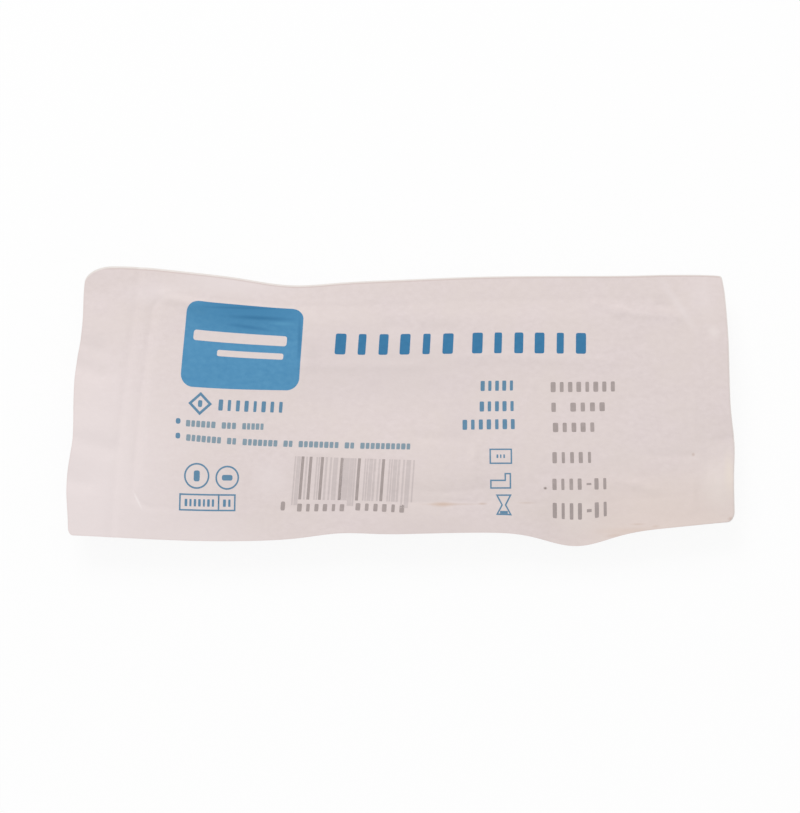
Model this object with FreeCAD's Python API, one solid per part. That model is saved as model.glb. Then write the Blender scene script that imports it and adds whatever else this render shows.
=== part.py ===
import FreeCAD, Part
import collections
import math
import os

# A sealed sterile peel pouch for a small curved medical tube, lying paper side up.
# A flat paper web covers a film web that is formed into a shallow pocket below it, and the two
# are heat sealed around the pocket. The pack is closed and opaque, so it is one solid.
# X runs along the pouch to its right end, Y across it, and Z up from the surface it lies on.

# Cut size of the two webs, and the height of their seal above the table
pouch_length = 156.3
pouch_width = 63.2
web_thickness = 0.24
seal_height = 8.0

# Peel tab, then the width of the seal on each side of the pocket
peel_tab = 11.4
left_seal = 4.2
right_seal = 6.2
top_seal = 6.0
bottom_seal = 7.4

# The sealing frame lay askew at its left side: its lines there go to the right by this share of
# their way up, and less and less towards the right end
left_lean = 0.05

# Corners of the cut webs, each a quarter of an ellipse: its radii along and across the pouch
CornerRadii = collections.namedtuple("CornerRadii", "along up")
bottom_left_radii = CornerRadii(along=1.1, up=1.6)
bottom_right_radii = CornerRadii(along=1.8, up=2.6)
top_right_radii = CornerRadii(along=0.8, up=0.8)
top_left_radii = CornerRadii(along=6.0, up=3.6)

# Pocket in the film: its corner radius, the plan width of its sloping wall, the rounding between
# wall and base, and how far the film's rim lies outside the line that shows in the paper
pocket_corner_radius = 5.0
pocket_wall_run = 4.5
pocket_base_radius = 2.4
pocket_rim = 1.2

# Groove pressed by the sealing frame round the pocket. The frame pressed hardest at its left side:
# the further depth there, and how far along it fades
seal_groove_depth = 0.035
seal_groove_spread = 0.8
left_groove_depth = 0.11
left_groove_fade = 6.0

# Groove along the tab's edge of the left seal
tab_groove_depth = 0.18
tab_groove_spread = 1.1

# How far in from its edge the lift of a wave is felt
top_edge_reach = 15.0
bottom_edge_reach = 11.0
end_edge_reach = 17.0

# A wave that spreads less than this is cut into the sealed margin alone, and a wider one also
# carries the pocket's line with it. How far in from the edge the narrow ones reach
narrow_wave = 13.0
narrow_wave_reach = 10.0

# Each cut edge is a straight line with soft waves in it: how far along the edge a wave is centred,
# how far it spreads, how far it moves the edge outward, and how far it lifts the edge
Wave = collections.namedtuple("Wave", "at spread out lift")

# Along the top edge, measured from the left end
top_edge_waves = [
    Wave(at=7.0, spread=19.0, out=2.1, lift=0.6),
    Wave(at=49.5, spread=12.0, out=-1.45, lift=-0.7),
    Wave(at=66.0, spread=24.0, out=-1.3, lift=0.0),
    Wave(at=154.0, spread=13.5, out=0.8, lift=0.0),
]

# Along the bottom edge, measured from the left end
bottom_edge_waves = [
    Wave(at=36.5, spread=35.0, out=2.1, lift=-0.4),
    Wave(at=63.5, spread=8.5, out=-0.9, lift=0.0),
    Wave(at=119.0, spread=10.0, out=3.0, lift=-2.0),
    Wave(at=163.0, spread=22.5, out=-2.9, lift=-0.8),
]

# Along the left end, measured from the bottom edge
left_end_waves = [
    Wave(at=62.0, spread=22.0, out=-1.6, lift=0.0),
    Wave(at=57.5, spread=6.0, out=0.5, lift=-0.6),
    Wave(at=39.5, spread=6.0, out=0.5, lift=-0.3),
    Wave(at=32.5, spread=7.0, out=0.4, lift=0.0),
    Wave(at=22.5, spread=6.0, out=-0.2, lift=0.5),
    Wave(at=12.5, spread=8.0, out=1.0, lift=0.0),
]

# Along the right end, measured from the bottom edge
right_end_waves = [
    Wave(at=63.0, spread=3.0, out=-0.3, lift=0.0),
    Wave(at=50.0, spread=14.5, out=0.3, lift=0.5),
    Wave(at=19.0, spread=6.5, out=0.7, lift=-0.6),
]

# Top right corner, bent down along a slanting line: where the line leaves the top edge and the
# right end, both measured from the corner, and how steeply the corner falls past it
corner_fold_along_top = 15.5
corner_fold_down_end = 18.5
corner_fold_slope = 0.2
corner_fold_softness = 0.8

# The tube inside lies on its side towards the pocket's lower wall and lifts the paper in a
# curved ridge. Points on the ridge are measured from the pocket's left line and lower line
ContentPoint = collections.namedtuple("ContentPoint", "along up")
content_tip = ContentPoint(along=34.6, up=31.5)
content_bend = ContentPoint(along=42.5, up=14.6)
content_flange = ContentPoint(along=79.6, up=8.2)
tip_lift = 0.5
flange_lift = 0.4
tube_spread = 8.5

# Flange at the tube's end: the near side of its round rim shows as a short curved ridge
flange_centre = ContentPoint(along=86.2, up=9.8)
flange_radius = 7.0
flange_half_length = 5.0
flange_extra_lift = 0.33
flange_spread = 1.3

# Where nothing lifts it, the paper sags in a long hollow below the pocket's upper line
hollow_from_pocket_left = 62.0
hollow_below_pocket_top = 23.5
hollow_half_length = 42.0
hollow_spread = 8.5
hollow_depth = 0.6

# How far inside its line the loose paper follows the tube and the hollow in full
paper_run = 6.5

# Slack of the loose paper: how much higher than the seal it stands, and how far inside the left,
# right, lower and upper line it has risen so far
paper_rise = 0.32
rise_run_left = 2.5
rise_run_right = 25.0
rise_run_bottom = 12.0
rise_run_top = 5.5

# Straight creases in the paper: the two ends, both measured from the left end and from the bottom
# edge, the depth, which is negative for a raised one, and the spread to each side
Crease = collections.namedtuple("Crease", "start_along start_up end_along end_up depth spread")
creases = [
    Crease(start_along=19.5, start_up=56.6, end_along=28.0, end_up=55.0, depth=-0.42, spread=1.6),
    Crease(start_along=53.0, start_up=41.8, end_along=82.0, end_up=41.3, depth=-0.14, spread=1.3),
    Crease(start_along=92.0, start_up=43.1, end_along=128.0, end_up=41.3, depth=-0.14, spread=1.3),
    Crease(start_along=124.5, start_up=56.3, end_along=130.0, end_up=54.2, depth=-0.18, spread=1.2),
    Crease(start_along=130.0, start_up=54.2, end_along=144.5, end_up=52.0, depth=-0.2, spread=1.2),
    Crease(start_along=140.0, start_up=55.6, end_along=142.2, end_up=55.0, depth=0.2, spread=1.2),
    Crease(start_along=83.5, start_up=50.2, end_along=89.0, end_up=49.6, depth=0.28, spread=2.2),
    Crease(start_along=74.6, start_up=51.2, end_along=78.2, end_up=51.2, depth=0.25, spread=2.0),
    Crease(start_along=0.0, start_up=44.8, end_along=4.5, end_up=43.0, depth=0.34, spread=2.2),
    Crease(start_along=0.0, start_up=39.9, end_along=6.0, end_up=37.4, depth=0.36, spread=2.2),
    Crease(start_along=0.0, start_up=22.4, end_along=9.0, end_up=20.4, depth=0.34, spread=2.4),
    Crease(start_along=0.0, start_up=12.9, end_along=4.0, end_up=12.2, depth=0.24, spread=2.0),
    Crease(start_along=81.5, start_up=23.2, end_along=91.0, end_up=22.6, depth=0.16, spread=1.2),
    Crease(start_along=127.0, start_up=11.9, end_along=133.0, end_up=10.9, depth=-0.14, spread=1.2),
    Crease(start_along=133.0, start_up=10.9, end_along=137.5, end_up=9.4, depth=-0.18, spread=1.1),
]

# Net that carries each face: its mesh width in the open, its mesh width and reach beside a line,
# and how far it runs past the cut edges
open_mesh = 2.0
fine_mesh = 1.1
fine_reach = 3.0
net_margin = 3.0
curve_degree = 3

half_length = pouch_length / 2
half_width = pouch_width / 2
pocket_left = peel_tab + left_seal - half_length
pocket_right = half_length - right_seal
pocket_top = half_width - top_seal
pocket_bottom = bottom_seal - half_width
tab_line = peel_tab - half_length


def bell(distance, spread):
    """Bell curve: 1 at its middle, 0.37 one spread away."""
    return math.exp(-(distance / spread) ** 2)


def ramp(distance, run):
    """Soft step: 0 up to the start, 1 past the run, level at both ends."""
    share = min(max(distance / run, 0.0), 1.0)
    return share * share * (3.0 - 2.0 * share)


def edge_out(waves, along, inside, width):
    """How far the waves move the webs outward at one place along an edge and one distance inside it.

    The width is that of the webs, up to the opposite edge, where no wave of this one is felt.
    """
    out = 0.0
    for wave in waves:
        reach = width if wave.spread > narrow_wave else narrow_wave_reach
        out += wave.out * bell(along - wave.at, wave.spread) * (1.0 - ramp(inside, reach))
    return out


def edge_lift(waves, along, inside, reach):
    """How far the waves lift the web at one place along an edge and one distance inside it."""
    lift = sum(wave.lift * bell(along - wave.at, wave.spread) for wave in waves)
    return lift * (1.0 - ramp(inside, reach))


def plan(u, v):
    """Place in plan of the point u along and v across the flat webs, both from their middle."""
    along = u + half_length
    up = v + half_width
    x = u + edge_out(right_end_waves, up, pouch_length - along, pouch_length)
    x -= edge_out(left_end_waves, up, along, pouch_length)
    y = v + edge_out(top_edge_waves, along, pouch_width - up, pouch_width)
    y -= edge_out(bottom_edge_waves, along, up, pouch_width)
    return x, y


def upright(u, v):
    """How far along a point of the webs would be if the frame's left side didn't lean."""
    return u - left_lean * v * (0.5 - u / pouch_length)


def pocket_line_distance(u, v):
    """Distance from the pocket's round-cornered outline, negative inside it."""
    middle_u = (pocket_left + pocket_right) / 2
    middle_v = (pocket_bottom + pocket_top) / 2
    past_u = abs(upright(u, v) - middle_u) - (pocket_right - pocket_left) / 2 + pocket_corner_radius
    past_v = abs(v - middle_v) - (pocket_top - pocket_bottom) / 2 + pocket_corner_radius
    outside = math.hypot(max(past_u, 0.0), max(past_v, 0.0))
    return outside + min(max(past_u, past_v), 0.0) - pocket_corner_radius


def corner_fold_drop(u, v):
    """Drop of the bent corner: it grows evenly past the slanting fold line."""
    past_along = (u - half_length) / corner_fold_along_top
    past_up = (v - half_width) / corner_fold_down_end
    line_scale = math.hypot(1.0 / corner_fold_along_top, 1.0 / corner_fold_down_end)
    past = (past_along + past_up + 1.0) / line_scale
    soft_past = (past + math.hypot(past, corner_fold_softness)) / 2
    return corner_fold_slope * soft_past


def crease_depth_at(u, v):
    """Depth of all creases at one place, each fading out past its ends."""
    along = u + half_length
    up = v + half_width
    depth = 0.0
    for crease in creases:
        run_along = crease.end_along - crease.start_along
        run_up = crease.end_up - crease.start_up
        from_start = (along - crease.start_along) * run_along + (up - crease.start_up) * run_up
        share = min(max(from_start / (run_along ** 2 + run_up ** 2), 0.0), 1.0)
        off_along = along - crease.start_along - share * run_along
        off_up = up - crease.start_up - share * run_up
        depth += crease.depth * bell(math.hypot(off_along, off_up), crease.spread)
    return depth


def web_height(u, v):
    """Height of the sealed webs: the seal plane with its waves, bent corner, lines and creases."""
    along = u + half_length
    up = v + half_width
    height = seal_height
    height += edge_lift(top_edge_waves, along, pouch_width - up, top_edge_reach)
    height += edge_lift(bottom_edge_waves, along, up, bottom_edge_reach)
    height += edge_lift(left_end_waves, up, along, end_edge_reach)
    height += edge_lift(right_end_waves, up, pouch_length - along, end_edge_reach)
    height -= corner_fold_drop(u, v)
    left_share = bell(upright(u, v) - pocket_left, left_groove_fade)
    groove = seal_groove_depth + left_groove_depth * left_share
    height -= groove * bell(pocket_line_distance(u, v), seal_groove_spread)
    height -= tab_groove_depth * bell(upright(u, v) - tab_line, tab_groove_spread)
    return height - crease_depth_at(u, v)


def circle_through(a, b, c):
    """Centre and radius of the circle through three points of the plan."""
    twice_area = 2.0 * (a[0] * (b[1] - c[1]) + b[0] * (c[1] - a[1]) + c[0] * (a[1] - b[1]))
    aa = a[0] ** 2 + a[1] ** 2
    bb = b[0] ** 2 + b[1] ** 2
    cc = c[0] ** 2 + c[1] ** 2
    x = (aa * (b[1] - c[1]) + bb * (c[1] - a[1]) + cc * (a[1] - b[1])) / twice_area
    y = (aa * (c[0] - b[0]) + bb * (a[0] - c[0]) + cc * (b[0] - a[0])) / twice_area
    return (x, y), math.hypot(a[0] - x, a[1] - y)


def on_web(point):
    """Place on the flat webs of a point given from the pocket's left and lower lines."""
    return pocket_left + point.along, pocket_bottom + point.up


tube_points = [on_web(point) for point in (content_tip, content_bend, content_flange)]
tube_centre, tube_bend_radius = circle_through(*tube_points)


def tube_angle(u, v):
    """Direction of a point as seen from the centre of the tube's bend."""
    return math.atan2(v - tube_centre[1], u - tube_centre[0]) % (2.0 * math.pi)


tip_angle = tube_angle(*on_web(content_tip))
flange_angle = tube_angle(*on_web(content_flange))


def content_lift(u, v):
    """Lift of the paper over the tube: a ridge along its arc, and one over the flange's rim."""
    share = (tube_angle(u, v) - tip_angle) / (flange_angle - tip_angle)
    held = min(max(share, 0.0), 1.0)
    angle = tip_angle + held * (flange_angle - tip_angle)
    nearest_u = tube_centre[0] + tube_bend_radius * math.cos(angle)
    nearest_v = tube_centre[1] + tube_bend_radius * math.sin(angle)
    lift = tip_lift + (flange_lift - tip_lift) * held
    ridge = lift * bell(math.hypot(u - nearest_u, v - nearest_v), tube_spread)
    off_rim = math.dist((u, v), on_web(flange_centre)) - flange_radius
    off_middle = math.dist((u, v), on_web(content_flange))
    flange = flange_extra_lift * bell(off_rim, flange_spread) * bell(off_middle, flange_half_length)
    return ridge + flange


def hollow_depth_at(u, v):
    """Sag of the loose paper in the long hollow below the pocket's upper line."""
    along = bell(u - pocket_left - hollow_from_pocket_left, hollow_half_length)
    return hollow_depth * along * bell(v - pocket_top + hollow_below_pocket_top, hollow_spread)


def inside_share(u, v, left_run, right_run, bottom_run, top_run):
    """0 on and outside the pocket's line and 1 where a point is a run or more inside each side."""
    ends = ramp(upright(u, v) - pocket_left, left_run) * ramp(pocket_right - u, right_run)
    return ends * ramp(v - pocket_bottom, bottom_run) * ramp(pocket_top - v, top_run)


def paper_height(u, v):
    """Height of the paper face: the sealed webs' own, with rise, lift and sag where it is free."""
    loose_share = inside_share(u, v, paper_run, paper_run, paper_run, paper_run)
    risen_share = inside_share(u, v, rise_run_left, rise_run_right, rise_run_bottom, rise_run_top)
    lift = (content_lift(u, v) - hollow_depth_at(u, v)) * loose_share
    return web_height(u, v) + paper_rise * risen_share + lift


def film_height(u, v):
    """Height of the sealed film's underside."""
    return web_height(u, v) - web_thickness


def stations(start, end, lines):
    """Knots of a net from start to end, closer together beside each line."""
    places = [start]
    while places[-1] < end:
        near = any(abs(places[-1] - line) < fine_reach for line in lines)
        places.append(places[-1] + (fine_mesh if near else open_mesh))
    stretch = (end - start) / (places[-1] - start)
    return [start + (place - start) * stretch for place in places]


def pole_places(knots):
    """Where each pole of a curve with these knots belongs: the mean of the knots it sits on."""
    clamped = [knots[0]] * curve_degree + knots[1:-1] + [knots[-1]] * curve_degree
    count = len(clamped) - curve_degree + 1
    return [sum(clamped[i:i + curve_degree]) / curve_degree for i in range(count)]


def knot_counts(knots):
    """How often each knot counts: once inside, and enough at both ends to reach the border."""
    return [curve_degree + 1] + [1] * (len(knots) - 2) + [curve_degree + 1]


def web_face(height, margin):
    """Smooth face drawn towards the heights over a net that runs past the cut edges."""
    columns = stations(-half_length - margin, half_length + margin, [tab_line, pocket_left, pocket_right])
    rows = stations(-half_width - margin, half_width + margin, [pocket_bottom, pocket_top])
    poles = [
        [FreeCAD.Vector(*plan(u, v), height(u, v)) for v in pole_places(rows)]
        for u in pole_places(columns)
    ]
    surface = Part.BSplineSurface()
    surface.buildFromPolesMultsKnots(
        poles,
        knot_counts(columns),
        knot_counts(rows),
        columns,
        rows,
        False,
        False,
        curve_degree,
        curve_degree,
    )
    return surface.toShape()


def on_plan(u, v, z=0.0):
    """Point of space over a point of the flat webs."""
    return FreeCAD.Vector(*plan(u, v), z)


def cut_edge(start, end):
    """Curve of a cut edge in plan, drawn towards the waved edge between two flat points."""
    count = math.ceil(math.dist(start, end) / open_mesh)
    knots = [index / count for index in range(count + 1)]
    poles = [
        on_plan(start[0] + (end[0] - start[0]) * share, start[1] + (end[1] - start[1]) * share)
        for share in pole_places(knots)
    ]
    curve = Part.BSplineCurve()
    curve.buildFromPolesMultsKnots(poles, knot_counts(knots), knots, False, curve_degree)
    return curve.toShape()


def corner_arc(before, corner, after):
    """Quarter ellipse between two cut edges, from the end of one to the start of the next."""
    curve = Part.BezierCurve()
    curve.setPoles([on_plan(*before), on_plan(*corner), on_plan(*after)])
    curve.setWeight(2, math.sqrt(0.5))
    return curve.toShape()


def web_outline():
    """Outline of the cut webs in plan, anticlockwise: four waved edges and four round corners."""
    corners = [
        (-half_length, -half_width, bottom_left_radii),
        (half_length, -half_width, bottom_right_radii),
        (half_length, half_width, top_right_radii),
        (-half_length, half_width, top_left_radii),
    ]
    turns = []
    for index, (u, v, radii) in enumerate(corners):
        along_side = (u - math.copysign(radii.along, u), v)
        along_end = (u, v - math.copysign(radii.up, v))
        turn = (along_end, (u, v), along_side)
        turns.append(turn if index % 2 == 0 else turn[::-1])
    edges = []
    for turn, following in zip(turns, turns[1:] + turns[:1]):
        edges.append(corner_arc(*turn))
        edges.append(cut_edge(turn[2], following[0]))
    return Part.Wire(edges)


def moved_out(corners, distance, z):
    """Corners of a four-sided outline with every side moved out by one distance, at a height."""
    moved = []
    for before, corner, after in zip(corners[-1:] + corners[:-1], corners, corners[1:] + corners[:1]):
        arriving = (corner - before).normalize()
        leaving = (after - corner).normalize()
        out_before = FreeCAD.Vector(arriving.y, -arriving.x, 0.0)
        out_after = FreeCAD.Vector(leaving.y, -leaving.x, 0.0)
        out = (out_before + out_after) * (distance / (1.0 + out_before.dot(out_after)))
        moved.append(FreeCAD.Vector(corner.x + out.x, corner.y + out.y, z))
    return moved


def flat_face(points):
    """Plane face inside the closed outline through the points."""
    return Part.Face(Part.makePolygon(points + points[:1]))


def leaning(u, v):
    """Point of the flat webs that a point of the upright frame leans to."""
    return (u + left_lean * v / 2) / (1.0 + left_lean * v / pouch_length), v


def formed_pocket():
    """Pocket of the film: plane sloping walls, round corners, and a rounded base on the table.

    Its walls run on upwards past the seal, where the paper closes it.
    """
    line_corners = [
        on_plan(*leaning(pocket_left, pocket_bottom)),
        on_plan(pocket_right, pocket_bottom),
        on_plan(pocket_right, pocket_top),
        on_plan(*leaning(pocket_left, pocket_top)),
    ]
    top = 2.0 * seal_height
    top_run = pocket_wall_run * (top / seal_height - 1.0)
    base = moved_out(line_corners, pocket_rim - pocket_wall_run, 0.0)
    rim = moved_out(line_corners, pocket_rim + top_run, top)
    faces = [flat_face(base[::-1]), flat_face(rim)]
    for index in range(len(base)):
        following = (index + 1) % len(base)
        faces.append(flat_face([base[index], base[following], rim[following], rim[index]]))
    block = Part.makeSolid(Part.makeShell(faces))
    upright = [edge for edge in block.Edges if edge.BoundBox.ZLength > seal_height]
    block = block.makeFillet(pocket_corner_radius, upright)
    foot = [edge for edge in block.Edges if edge.BoundBox.ZMax < seal_height / 2]
    return block.makeFillet(pocket_base_radius, foot)


def sealed_pouch():
    """The whole pack: under the paper face, and inside the sealed film or its pocket."""
    up = FreeCAD.Vector(0.0, 0.0, 3.0 * seal_height)
    below_paper = web_face(paper_height, net_margin).extrude(-up)
    above_film = web_face(film_height, 2.0 * net_margin).extrude(up)
    webs = Part.Face(web_outline()).extrude(up)
    solid = webs.common(below_paper).common(above_film.fuse(formed_pocket()))
    solid = solid.Solids[0]
    box = solid.optimalBoundingBox(False)
    solid.translate(FreeCAD.Vector(-box.Center.x, -box.Center.y, -box.ZMin))
    return solid


os.makedirs("parts", exist_ok=True)
pouch = sealed_pouch()
pouch.exportStep("parts/sealed_pouch.step")
print("volume", round(pouch.Volume), "mm3, solids", len(pouch.Solids), "valid", pouch.isValid())
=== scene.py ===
import math

import bpy
import numpy as np
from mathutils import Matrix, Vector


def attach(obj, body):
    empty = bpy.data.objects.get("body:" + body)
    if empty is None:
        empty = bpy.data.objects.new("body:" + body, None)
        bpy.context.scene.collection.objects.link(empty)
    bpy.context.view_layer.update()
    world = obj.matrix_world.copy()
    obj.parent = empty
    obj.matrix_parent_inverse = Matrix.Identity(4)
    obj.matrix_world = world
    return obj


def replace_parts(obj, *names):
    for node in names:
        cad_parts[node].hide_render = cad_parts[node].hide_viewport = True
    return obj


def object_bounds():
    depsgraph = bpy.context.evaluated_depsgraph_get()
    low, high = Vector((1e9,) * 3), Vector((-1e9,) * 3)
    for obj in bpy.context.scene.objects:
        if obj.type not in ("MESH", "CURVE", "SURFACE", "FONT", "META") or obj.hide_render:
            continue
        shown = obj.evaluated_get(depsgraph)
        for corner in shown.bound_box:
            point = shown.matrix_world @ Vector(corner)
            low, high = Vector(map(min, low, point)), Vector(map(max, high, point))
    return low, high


# A sealed sterile peel pouch, lying paper side up on a pale floor.
# Sizes of the pouch are in millimetres, and each mesh is put into the scene in metres. The flat
# webs have their own coordinates: u along the pouch and v across it, both from their middle.

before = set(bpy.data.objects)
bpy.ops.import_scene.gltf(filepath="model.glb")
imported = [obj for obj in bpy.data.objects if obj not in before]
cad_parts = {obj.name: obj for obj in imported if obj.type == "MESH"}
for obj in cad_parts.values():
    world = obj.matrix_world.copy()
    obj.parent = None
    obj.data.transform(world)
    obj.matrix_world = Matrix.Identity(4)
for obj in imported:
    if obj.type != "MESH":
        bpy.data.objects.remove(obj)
solid_low, solid_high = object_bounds()


# Camera
# It looks steeply down on the pouch from the side of its lower edge, and stays level.
camera_elevation = math.radians(75.0)
camera_distance = 0.450
camera_target = (-0.0004, -0.0005, 0.0070)

camera = bpy.data.objects.new("camera", bpy.data.cameras.new("camera"))
camera.data.lens = 83.5
camera.data.sensor_width = 36.0
camera.data.clip_start = 0.01
camera.data.clip_end = 10.0
camera.rotation_euler = (math.pi / 2 - camera_elevation, 0.0, 0.0)
camera.location = (
    camera_target[0],
    camera_target[1] - camera_distance * math.cos(camera_elevation),
    camera_target[2] + camera_distance * math.sin(camera_elevation),
)
bpy.context.scene.collection.objects.link(camera)
bpy.context.scene.camera = camera


# Paper web
# The upper web is uncoated medical paper, printed on its outside and sealed to the film below it
# all round the pocket. Its left end stays loose, as the tab by which the pouch is peeled open.
pouch_length = 156.3
pouch_width = 63.2
seal_height = 8.0
paper_thickness = 0.1
peel_tab = 11.4
left_seal = 4.2
right_seal = 6.2
top_seal = 6.0
bottom_seal = 7.4

half_length = pouch_length / 2
half_width = pouch_width / 2
pocket_left = peel_tab + left_seal - half_length
pocket_right = half_length - right_seal
pocket_top = half_width - top_seal
pocket_bottom = bottom_seal - half_width
pocket_corner_radius = 5.0

# The sealing frame lay askew at its left side: its lines there go to the right by this share of
# their way up, and not at all at the right end
left_lean = 0.05

# Each cut edge is a straight line with soft waves in it: how far along the edge a wave is centred,
# how far it spreads, how far it moves the edge outward, and how far it lifts the edge
top_edge_waves = [
    (7.0, 19.0, 2.1, 0.6),
    (49.5, 12.0, -1.45, -0.7),
    (66.0, 24.0, -1.3, 0.0),
    (154.0, 13.5, 0.8, 0.0),
]
bottom_edge_waves = [
    (36.5, 35.0, 2.1, -0.4),
    (63.5, 8.5, -0.9, 0.0),
    (119.0, 10.0, 3.0, -2.0),
    (163.0, 22.5, -2.9, -0.8),
]
left_end_waves = [
    (62.0, 22.0, -1.6, 0.0),
    (57.5, 6.0, 0.5, -0.6),
    (39.5, 6.0, 0.5, -0.3),
    (32.5, 7.0, 0.4, 0.0),
    (22.5, 6.0, -0.2, 0.5),
    (12.5, 8.0, 1.0, 0.0),
]
right_end_waves = [(63.0, 3.0, -0.3, 0.0), (50.0, 14.5, 0.3, 0.5), (19.0, 6.5, 0.7, -0.6)]
narrow_wave = 13.0
narrow_wave_reach = 10.0
top_edge_reach = 15.0
bottom_edge_reach = 11.0
end_edge_reach = 17.0


def bell(distance, spread):
    """Bell curve, exp(-(distance / spread)^2): 1 at its middle and 0.37 one spread away."""
    return np.exp(-((distance / spread) ** 2))


def ramp(distance, run):
    """Soft step, 3s^2 - 2s^3 of the share s of the run: 0 up to the start and 1 past the run."""
    share = np.clip(distance / run, 0.0, 1.0)
    return share * share * (3.0 - 2.0 * share)


def edge_out(waves, along, inside, width):
    """Sum of the waves' bells along an edge, each times how far it moves the web outward.

    A narrow wave fades out inside its own margin, and a wide one as far as the opposite edge.
    """
    out = 0.0
    for at, spread, wave_out, _ in waves:
        reach = width if spread > narrow_wave else narrow_wave_reach
        out = out + wave_out * bell(along - at, spread) * (1.0 - ramp(inside, reach))
    return out


def edge_lift(waves, along, inside, reach):
    """Sum of the waves' bells along an edge, each times its lift, fading out over the reach."""
    lift = sum(wave_lift * bell(along - at, spread) for at, spread, _, wave_lift in waves)
    return lift * (1.0 - ramp(inside, reach))


def plan(u, v):
    """Place in plan of a point of the flat webs, which is moved outward by the four edges' waves."""
    along = u + half_length
    up = v + half_width
    x = u + edge_out(right_end_waves, up, pouch_length - along, pouch_length)
    x = x - edge_out(left_end_waves, up, along, pouch_length)
    y = v + edge_out(top_edge_waves, along, pouch_width - up, pouch_width)
    y = y - edge_out(bottom_edge_waves, along, up, pouch_width)
    return x, y


def upright(u, v):
    """How far along a point is without the frame's lean: u - lean v (1/2 - u / length)."""
    return u - left_lean * v * (0.5 - u / pouch_length)


def pocket_line_distance(u, v):
    """Signed distance from the pocket's round-cornered outline, negative inside it."""
    straight_u = (pocket_right - pocket_left) / 2 - pocket_corner_radius
    straight_v = (pocket_top - pocket_bottom) / 2 - pocket_corner_radius
    past_u = np.abs(upright(u, v) - (pocket_left + pocket_right) / 2) - straight_u
    past_v = np.abs(v - (pocket_bottom + pocket_top) / 2) - straight_v
    outside = np.hypot(np.maximum(past_u, 0.0), np.maximum(past_v, 0.0))
    return outside + np.minimum(np.maximum(past_u, past_v), 0.0) - pocket_corner_radius


# Top right corner, bent down past a slanting line: where the line leaves the top edge and the
# right end, measured from the corner, and how steeply and softly the corner falls past it
fold_along_top = 15.5
fold_down_end = 18.5
fold_slope = 0.2
fold_softness = 0.8

# Grooves pressed by the sealing frame, round the pocket and along the tab: depth and spread. The
# frame pressed hardest at its left side: the further depth there and how far along it fades
seal_groove = (0.035, 0.8)
left_groove = (0.11, 6.0)
tab_groove = (0.18, 1.1)

# Creases and small dents: both ends from the webs' left and bottom edges, the depth, which is
# negative for a raised one, and the spread
creases = [
    (19.5, 56.6, 28.0, 55.0, -0.42, 1.6),
    (53.0, 41.8, 82.0, 41.3, -0.14, 1.3),
    (92.0, 43.1, 128.0, 41.3, -0.14, 1.3),
    (124.5, 56.3, 130.0, 54.2, -0.18, 1.2),
    (130.0, 54.2, 144.5, 52.0, -0.20, 1.2),
    (140.0, 55.6, 142.2, 55.0, 0.20, 1.2),
    (134.0, 46.2, 136.0, 45.9, 0.12, 0.9),
    (83.5, 50.2, 89.0, 49.6, 0.28, 2.2),
    (74.6, 51.2, 78.2, 51.2, 0.25, 2.0),
    (0.0, 44.8, 4.5, 43.0, 0.34, 2.2),
    (0.0, 39.9, 6.0, 37.4, 0.36, 2.2),
    (0.0, 22.4, 9.0, 20.4, 0.34, 2.4),
    (0.0, 12.9, 4.0, 12.2, 0.24, 2.0),
    (81.5, 23.2, 91.0, 22.6, 0.16, 1.2),
    (79.5, 10.9, 88.5, 9.7, 0.08, 0.6),
    (88.5, 9.7, 98.5, 10.8, 0.08, 0.6),
    (79.5, 7.6, 99.0, 7.4, 0.05, 0.5),
    (55.0, 20.9, 60.5, 19.6, -0.16, 1.0),
    (127.0, 11.9, 133.0, 10.9, -0.14, 1.2),
    (133.0, 10.9, 137.5, 9.4, -0.18, 1.1),
    (136.0, 17.9, 147.0, 16.9, 0.14, 0.9),
    (152.5, 20.2, 156.3, 20.6, 0.16, 0.9),
    (147.5, 31.0, 147.6, 21.5, -0.10, 0.8),
    (146.8, 11.0, 146.5, 4.0, -0.12, 0.9),
    (109.2, 36.8, 108.3, 33.0, -0.12, 0.8),
]


def corner_fold_drop(u, v):
    """Fall past the fold line: slope times (p + sqrt(p^2 + softness^2)) / 2, p millimetres past it."""
    across = (u - half_length) / fold_along_top + (v - half_width) / fold_down_end + 1.0
    past = across / math.hypot(1.0 / fold_along_top, 1.0 / fold_down_end)
    return fold_slope * (past + np.hypot(past, fold_softness)) / 2


def crease_depth(u, v):
    """Sum of the creases' depths, each a bell of the distance from the crease's straight line."""
    along = u + half_length
    up = v + half_width
    total = 0.0
    for start_along, start_up, end_along, end_up, depth, spread in creases:
        run_along = end_along - start_along
        run_up = end_up - start_up
        from_start = (along - start_along) * run_along + (up - start_up) * run_up
        share = np.clip(from_start / (run_along**2 + run_up**2), 0.0, 1.0)
        off_line = np.hypot(along - start_along - share * run_along, up - start_up - share * run_up)
        total = total + depth * bell(off_line, spread)
    return total


def web_height(u, v):
    """Height of the sealed webs: seal plane plus the edges' lifts, less fold, grooves and creases."""
    along = u + half_length
    up = v + half_width
    height = seal_height + edge_lift(top_edge_waves, along, pouch_width - up, top_edge_reach)
    height = height + edge_lift(bottom_edge_waves, along, up, bottom_edge_reach)
    height = height + edge_lift(left_end_waves, up, along, end_edge_reach)
    height = height + edge_lift(right_end_waves, up, pouch_length - along, end_edge_reach)
    groove = seal_groove[0] + left_groove[0] * bell(upright(u, v) - pocket_left, left_groove[1])
    height = height - groove * bell(pocket_line_distance(u, v), seal_groove[1])
    height = height - tab_groove[0] * bell(upright(u, v) + half_length - peel_tab, tab_groove[1])
    return height - corner_fold_drop(u, v) - crease_depth(u, v)


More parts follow.
